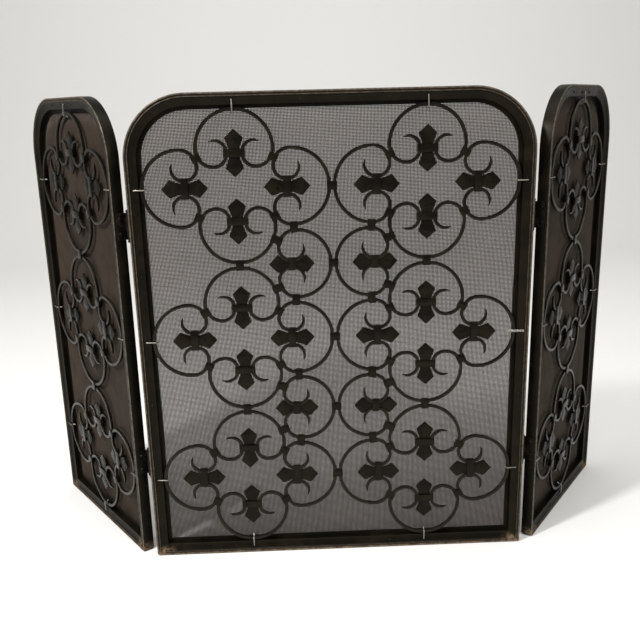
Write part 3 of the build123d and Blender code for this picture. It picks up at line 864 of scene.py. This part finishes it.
def draw_fleur(pad_half, neck_limit):
    """Spear plate: half of it is drawn out from the pad, station by station, then mirrored."""
    s = sizes()
    deselect()
    bpy.ops.mesh.primitive_plane_add(size=1)
    fleur = bpy.context.object
    start = 2.0 * MM
    for vertex in fleur.data.vertices:
        vertex.co.x *= 2 * pad_half
        vertex.co.y = start if vertex.co.y > 0 else 0.0
    pick(fleur, lambda e: all(fleur.data.vertices[i].co.y > start / 2 for i in e.vertices), "edges")
    at, half = start, pad_half
    for distance, width in FLEUR_EDGE:
        distance, width = distance * MM, width * MM
        if distance < neck_limit:
            width = min(width, pad_half + distance ** 2 / (2 * s.volute))
        bpy.ops.mesh.extrude_region_move(TRANSFORM_OT_translate={"value": (0, distance - at, 0)})
        bpy.ops.transform.resize(value=(width / half, 1, 1), center_override=(0, distance, 0))
        at, half = distance, width
    object_mode()
    mirror_over(fleur, "Y", 0.00005)
    thick = fleur.modifiers.new("plate", "SOLIDIFY")
    thick.thickness = s.fleur_thick
    thick.offset = 0
    soften_edges(fleur, 0.4 * MM, 50)
    apply_modifiers(fleur)
    close_up(fleur, 0.00001)
    smooth(fleur, 40)
    return fleur


def fleur_centres(scrolls, turn_radius):
    """A fleur's middle stands level with the volutes' centres."""
    drop = sizes().volute - turn_radius
    return [(x - drop * math.sin(turn), z + drop * math.cos(turn), turn) for x, z, turn in scrolls]


def make_fleurs():
    s = sizes()
    iron = black_iron("fleur_iron", 0.26, 0.40, 0.30, dents=130.0)
    depth = bar_middle()
    gap = s.volute + s.bar / 2 + 0.0002
    large = draw_fleur(min(0.008, s.ring - s.turn - gap), 0.0)
    small = draw_fleur(s.link_ring - s.link_turn - gap, 0.012)
    for panel in panel_places():
        centres = fleur_centres(rose_places(panel), s.turn)
        places = [panel["place"] @ flat(*at, depth) for at in centres]
        plates = joined(copies(large, places), f"{panel['name']}_fleurs_cut")
        finish_piece(plates, panel["body"], "fleur", iron, f"{panel['name']}_fleurs")
    centre = panel_places()[0]
    places = [centre["place"] @ flat(*at, depth) for at in fleur_centres(link_scrolls(), s.link_turn)]
    plates = joined(copies(small, places), "centre_link_fleurs_cut")
    finish_piece(plates, centre["body"], "fleur", iron, "centre_link_fleurs")
    discard(large, small)


# ---- bands

def draw_band(inside, width):
    """A strap folded round the bars: a box without ends, given its wall and soft edges."""
    s = sizes()
    clear = 0.0001
    outer = inside + 2 * s.strap
    thick = s.bar + 2 * clear + 2 * s.strap
    deselect()
    bpy.ops.mesh.primitive_cube_add(size=1, scale=(outer, width, thick))
    band = bpy.context.object
    bpy.ops.object.transform_apply(scale=True)
    pick(band, lambda f: abs(f.normal.y) > 0.5)
    bpy.ops.mesh.delete(type="FACE")
    object_mode()
    wall = band.modifiers.new("strap", "SOLIDIFY")
    wall.thickness = s.strap
    wall.offset = -1
    wall.use_even_offset = True
    soften_edges(band, 0.32 * MM)
    apply_modifiers(band)
    close_up(band, 0.00001)
    smooth(band, 40)
    return band


def sagitta(radius, half_chord):
    return radius - math.sqrt(radius * radius - half_chord * half_chord)


def joint_band(first, first_radius, second, second_radius):
    """Place and inside length of a strap where two round bars pass."""
    s = sizes()
    half = s.strap_width / 2
    span = math.hypot(second[0] - first[0], second[1] - first[1])
    near = first_radius - s.bar / 2 - sagitta(first_radius - s.bar / 2, half)
    far = span - second_radius + s.bar / 2 + sagitta(second_radius - s.bar / 2, half)
    share = (near + far) / 2 / span
    x = first[0] + (second[0] - first[0]) * share
    z = first[1] + (second[1] - first[1]) * share
    turn = math.atan2(second[1] - first[1], second[0] - first[0])
    return x, z, turn, far - near + 0.0002


def rose_bands(x, z):
    """Four diagonal joints of a quatrefoil."""
    s = sizes()
    half_width, half_height = rose_reach()
    bend = s.ring - s.turn
    across = half_width - s.ring
    rise = half_height - s.ring
    return [joint_band((x + h * bend, z + v * rise), s.turn, (x + h * across, z + v * bend), s.turn)
            for h in (-1, 1) for v in (-1, 1)]


def neighbours(values):
    ordered = levels(values)
    return list(zip(ordered, ordered[1:]))


def column_bands(roses):
    """Joints between the quatrefoils that stand above each other."""
    s = sizes()
    rise = rose_reach()[1] - s.ring
    rows = neighbours(z for _, _, z in roses)
    columns = levels(x for _, x, _ in roses)
    return [joint_band((x, low + rise), s.ring, (x, high - rise), s.ring)
            for x in columns for low, high in rows]


def centre_bands(roses):
    """Joints on the centre line and round the link scrolls."""
    s = sizes()
    half_width, half_height = rose_reach()
    column = max(x for _, x, _ in roses)
    ring_x = column - half_width + s.ring
    link_x = max(x for x, _, _ in link_scrolls())
    rise = half_height - s.ring
    bend = s.ring - s.turn
    link_bend = s.link_ring - s.link_turn
    rows = levels(z for _, _, z in roses)
    bands = [joint_band((-ring_x, z), s.ring, (ring_x, z), s.ring) for z in rows]
    for low, high in neighbours(rows):
        middle = (low + high) / 2
        bands.append(joint_band((-link_x, middle), s.link_ring, (link_x, middle), s.link_ring))
        for hand in (-1, 1):
            for near, up in ((low, 1), (high, -1)):
                link_at = (hand * link_x, middle - up * link_bend)
                ring_at = (hand * ring_x, near + up * bend)
                outer_at = (hand * column, near + up * rise)
                bands.append(joint_band(ring_at, s.turn, link_at, s.link_turn))
                bands.append(joint_band(outer_at, s.ring, link_at, s.link_turn))
    return bands


def fleur_band_length(ring, turn):
    s = sizes()
    hollow = sagitta(s.volute - s.bar / 2, s.fleur_strap_width / 2)
    return 2 * (ring - turn - s.volute + s.bar / 2 + hollow + 0.0001)


def place_bands(panel, bands, width, kind, iron):
    depth = bar_middle()
    straps = []
    patterns = {}
    for x, z, turn, inside in bands:
        key = round(inside, 5)
        if key not in patterns:
            patterns[key] = draw_band(inside, width)
        straps += copies(patterns[key], [panel["place"] @ flat(x, z, turn, depth)])
    discard(*patterns.values())
    name = f"{panel['name']}_{kind}"
    finish_piece(joined(straps, f"{name}_straps"), panel["body"], "band", iron, f"{name}_bands")


def make_fleur_bands():
    s = sizes()
    iron = black_iron("band_iron", 0.16, 0.28, 0.2, shine=0.12)
    for panel in panel_places():
        inside = fleur_band_length(s.ring, s.turn)
        bands = [(*at, inside) for at in fleur_centres(rose_places(panel), s.turn)]
        if panel["side"] == 0:
            inside = fleur_band_length(s.link_ring, s.link_turn)
            bands += [(*at, inside) for at in fleur_centres(link_scrolls(), s.link_turn)]
        place_bands(panel, bands, s.fleur_strap_width, "fleur", iron)


def make_joint_bands():
    s = sizes()
    iron = black_iron("joint_band_iron", 0.16, 0.28, 0.2, shine=0.12)
    for panel in panel_places():
        bands = [band for _, x, z in panel["roses"] for band in rose_bands(x, z)]
        bands += column_bands(panel["roses"])
        if panel["side"] == 0:
            bands += centre_bands(panel["roses"])
        place_bands(panel, bands, s.strap_width, "joint", iron)


# ---- wire clips

def clip_places(panel):
    """(edge point, inward direction, reach) of each clip, in the panel's x and z."""
    half_width, half_height = rose_reach()
    half = panel["width"] / 2
    top = panel["height"]
    columns = levels(x for _, x, _ in panel["roses"])
    rows = levels(z for _, _, z in panel["roses"])
    side_reach = half - columns[-1] - half_width
    places = []
    for z in rows:
        places.append(((-half, z), (1, 0), side_reach))
        places.append(((half, z), (-1, 0), side_reach))
    for x in columns:
        places.append(((x, top), (0, -1), top - rows[-1] - half_height))
        places.append(((x, 0), (0, 1), rows[0] - half_height))
    return places


def draw_clip(reach):
    """Wire from inside the rail, over its face and the ring, and back under the bar."""
    s = sizes()
    radius = 1.3 * MM
    over_face = 2.2 * MM
    hook = reach + s.bar / 2 + s.clip_wire / 2 + 0.0003
    sweep = Sweep(round_section(s.clip_wire / 2, 8), (s.clip_inset, -7.0 * MM), (0, 1))
    sweep.cap()
    sweep.run(7.0 * MM - over_face - radius)
    sweep.bend(radius, -86, 4)
    sweep.run(hook - s.clip_inset - 2 * radius)
    sweep.bend(radius, -94, 5)
    sweep.run(3.0 * MM)
    sweep.bend(radius, 48, 3)
    sweep.run(3.6 * MM)
    sweep.cap()
    clip = sweep.done()
    close_up(clip)
    smooth(clip, 50)
    return clip


def clip_matrix(panel, at, inward):
    """The clip is drawn with x inward and y towards the front."""
    matrix = Matrix.Identity(4)
    matrix.col[0] = (inward[0], 0, inward[1], 0)
    matrix.col[1] = (0, -1, 0, 0)
    cross = Vector((inward[0], 0, inward[1])).cross(Vector((0, -1, 0)))
    matrix.col[2] = (*cross, 0)
    return panel["place"] @ Matrix.Translation((at[0], 0, at[1])) @ matrix


def twisted_tie(panel, row):
    """Two strands twisted together over the right-hand ring of a row, with cut ends standing up."""
    s = sizes()
    half_width = rose_reach()[0]
    reach = panel["width"] / 2 - max(x for _, x, _ in panel["roses"]) - half_width
    long = reach + s.bar - s.clip_inset + 9 * MM
    lay = 0.72 * s.clip_wire
    section = [(aside, height + lay / 2) for aside, height in round_section(0.42 * s.clip_wire, 6)]
    strand = Sweep(section, (s.clip_inset - 3 * MM, 0), (1, 0))
    strand.cap()
    steps, turns = 26, 3
    for _ in range(steps):
        strand.run(long / steps)
    strand.cap()
    pattern = strand.done()
    twist = pattern.modifiers.new("twist", "SIMPLE_DEFORM")
    twist.deform_method = "TWIST"
    twist.deform_axis = "X"
    twist.angle = math.radians(turns * 360)
    apply_modifiers(pattern)
    edit()
    bpy.ops.mesh.select_all(action="SELECT")
    bpy.ops.transform.resize(value=(1, 0.62, 1.45), center_override=(0, 0, 0))
    object_mode()
    close_up(pattern)
    half_turn = Matrix.Rotation(math.radians(180), 4, "X")
    strands = copies(pattern, [Matrix.Identity(4), half_turn])
    discard(pattern)
    tie = joined(strands, "tie")
    smooth(tie, 60)
    rise = Matrix.Translation((0, -1.2 * MM, 0)) @ Matrix.Rotation(math.radians(-3.5), 4, "Z")
    tie.data.transform(clip_matrix(panel, (panel["width"] / 2, row), (-1, 0)) @ rise)
    return tie


def make_clips():
    steel = clip_steel()
    for panel in panel_places():
        wires = []
        tie_row = levels(z for _, _, z in panel["roses"])[1]
        for at, inward, reach in clip_places(panel):
            if panel["side"] == 0 and at[0] > 0 and inward[0] < 0 and at[1] == tie_row:
                wires.append(twisted_tie(panel, at[1]))
            clip = draw_clip(reach)
            clip.data.transform(clip_matrix(panel, at, inward))
            wires.append(clip)
        name = f"{panel['name']}_wire_clips"
        finish_piece(joined(wires, f"{name}_bent"), panel["body"], "clip", steel, name)


# ---- small iron

def make_fixings():
    """Materials of the strips, rivets, hinges and screws, which keep their CAD shapes."""
    strip = black_iron("strip_iron", 0.45, 0.6, 0.15)
    hinge = hinge_iron()
    for node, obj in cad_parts.items():
        if obj.hide_render:
            continue
        finish = hinge if "hinge" in node else strip
        obj.data.materials.clear()
        obj.data.materials.append(finish)


# ---- stage

def make_stage():
    c = colours()
    low, high = CAD_BOX
    deselect()
    front, back, half_width, cove, wall = -5.0, 2.6, 7.0, 1.6, 4.0
    bpy.ops.mesh.primitive_plane_add(size=1, scale=(1, 1, 1))
    floor = bpy.context.object
    ground = low.z - 0.0002
    for vertex in floor.data.vertices:
        vertex.co = Vector((vertex.co.x * 2 * half_width, front if vertex.co.y < 0 else back, ground))
    pick(floor, lambda e: all(floor.data.vertices[i].co.y > 0 for i in e.vertices), "edges")
    bpy.ops.mesh.spin(steps=16, angle=math.radians(-90), center=(0, back, ground + cove),
                      axis=(1, 0, 0))
    bpy.ops.mesh.extrude_region_move(TRANSFORM_OT_translate={"value": (0, 0, wall)})
    object_mode()
    smooth(floor, 60)
    floor.name = "floor"
    material, g, shader = new_material("pale_floor")
    where = g.node("ShaderNodeTexCoord").outputs["Object"]
    base = g.mix(g.noise(where, 3.0), c.floor, tuple(v * 0.985 for v in c.floor))
    link(g, shader, Base_Color=base)
    shader.inputs["Roughness"].default_value = 0.85
    shader.inputs["Specular IOR Level"].default_value = 0.1
    floor.data.materials.append(material)

    world = bpy.data.worlds.new("studio")
    bpy.context.scene.world = world
    world.use_nodes = True
    sky = world.node_tree.nodes["Background"]
    sky.inputs["Color"].default_value = (1.0, 0.99, 0.97, 1)
    sky.inputs["Strength"].default_value = 0.46

    middle = (low + high) / 2
    behind = Vector((0, back + cove, 0.9))
    for label, spot, target, size, power in (("key", (-1.4, -1.1, 1.9), middle, 0.22, 55),
                                             ("fill", (1.6, -1.3, 1.3), middle, 0.2, 10),
                                             ("top", (0, -0.8, 3.6), middle, 3.0, 75),
                                             ("back", (0, 1.7, 2.8), behind, 3.0, 18)):
        bpy.ops.object.light_add(type="AREA", location=spot)
        lamp = bpy.context.object
        lamp.name = label
        lamp.data.size = size
        lamp.data.energy = power
        lamp.rotation_euler = (target - Vector(spot)).to_track_quat("-Z", "Y").to_euler()

    bpy.ops.object.camera_add(location=(-0.0549, -1.2093, 0.7372),
                              rotation=(math.radians(74.748), math.radians(1.404),
                                        math.radians(-1.910)))
    camera = bpy.context.object
    camera.data.shift_x = -0.0008
    camera.data.sensor_width = 36
    camera.data.lens = 44.04
    bpy.context.scene.camera = camera
    bpy.context.scene.view_settings.view_transform = "Standard"


# ---- add-on

class ScreenOperator:
    bl_options = {"REGISTER", "UNDO"}
    work = None

    def execute(self, context):
        type(self).work()
        return {"FINISHED"}


class SCREEN_OT_rails(ScreenOperator, bpy.types.Operator):
    """Rolled arch rails and bottom rails"""
    bl_idname = "screen.rails"
    bl_label = "Rails"
    work = staticmethod(make_rails)


class SCREEN_OT_face_rivets(ScreenOperator, bpy.types.Operator):
    """Rivet heads in the rails' faces"""
    bl_idname = "screen.face_rivets"
    bl_label = "Face Rivets"
    work = staticmethod(make_face_rivets)


class SCREEN_OT_cloth(ScreenOperator, bpy.types.Operator):
    """Wire cloth of the three panels"""
    bl_idname = "screen.cloth"
    bl_label = "Wire Cloth"
    work = staticmethod(make_cloth)


class SCREEN_OT_scrolls(ScreenOperator, bpy.types.Operator):
    """Forged C-scrolls"""
    bl_idname = "screen.scrolls"
    bl_label = "Scrolls"
    work = staticmethod(make_scrolls)


class SCREEN_OT_fleurs(ScreenOperator, bpy.types.Operator):
    """Spear-ended fleur plates"""
    bl_idname = "screen.fleurs"
    bl_label = "Fleurs"
    work = staticmethod(make_fleurs)


class SCREEN_OT_fleur_bands(ScreenOperator, bpy.types.Operator):
    """Straps round the fleurs and volutes"""
    bl_idname = "screen.fleur_bands"
    bl_label = "Fleur Bands"
    work = staticmethod(make_fleur_bands)


class SCREEN_OT_joint_bands(ScreenOperator, bpy.types.Operator):
    """Straps where two scrolls pass"""
    bl_idname = "screen.joint_bands"
    bl_label = "Joint Bands"
    work = staticmethod(make_joint_bands)


class SCREEN_OT_clips(ScreenOperator, bpy.types.Operator):
    """Steel wire clips from the rails to the rings"""
    bl_idname = "screen.clips"
    bl_label = "Wire Clips"
    work = staticmethod(make_clips)


class SCREEN_OT_fixings(ScreenOperator, bpy.types.Operator):
    """Strips, rivets, hinges and screws"""
    bl_idname = "screen.fixings"
    bl_label = "Fixings"
    work = staticmethod(make_fixings)


class SCREEN_OT_stage(ScreenOperator, bpy.types.Operator):
    """Pale floor, soft light and the camera"""
    bl_idname = "screen.stage"
    bl_label = "Stage"
    work = staticmethod(make_stage)


STEPS = (SCREEN_OT_stage, SCREEN_OT_rails, SCREEN_OT_face_rivets, SCREEN_OT_cloth,
         SCREEN_OT_scrolls, SCREEN_OT_fleurs, SCREEN_OT_fleur_bands, SCREEN_OT_joint_bands,
         SCREEN_OT_clips, SCREEN_OT_fixings)


class SCREEN_PT_panel(bpy.types.Panel):
    """Lists the screen's pieces in the order they are made"""
    bl_idname = "SCREEN_PT_panel"
    bl_label = "Fireplace Screen"
    bl_space_type = "VIEW_3D"
    bl_region_type = "UI"
    bl_category = "Screen"

    def draw(self, context):
        for step in STEPS:
            self.layout.operator(step.bl_idname)
        for group in (context.scene.screen_sizes, context.scene.screen_colours):
            for name in group.bl_rna.properties.keys():
                if name not in ("rna_type", "name"):
                    self.layout.prop(group, name)


CLASSES = (ScreenSizes, ScreenColours, *STEPS, SCREEN_PT_panel)


def register():
    for item in CLASSES:
        bpy.utils.register_class(item)
    bpy.types.Scene.screen_sizes = PointerProperty(type=ScreenSizes)
    bpy.types.Scene.screen_colours = PointerProperty(type=ScreenColours)


def unregister():
    del bpy.types.Scene.screen_sizes
    del bpy.types.Scene.screen_colours
    for item in reversed(CLASSES):
        bpy.utils.unregister_class(item)


def main():
    register()
    for step in STEPS:
        family, name = step.bl_idname.split(".")
        getattr(getattr(bpy.ops, family), name)()


if __name__ == "__main__":
    main()
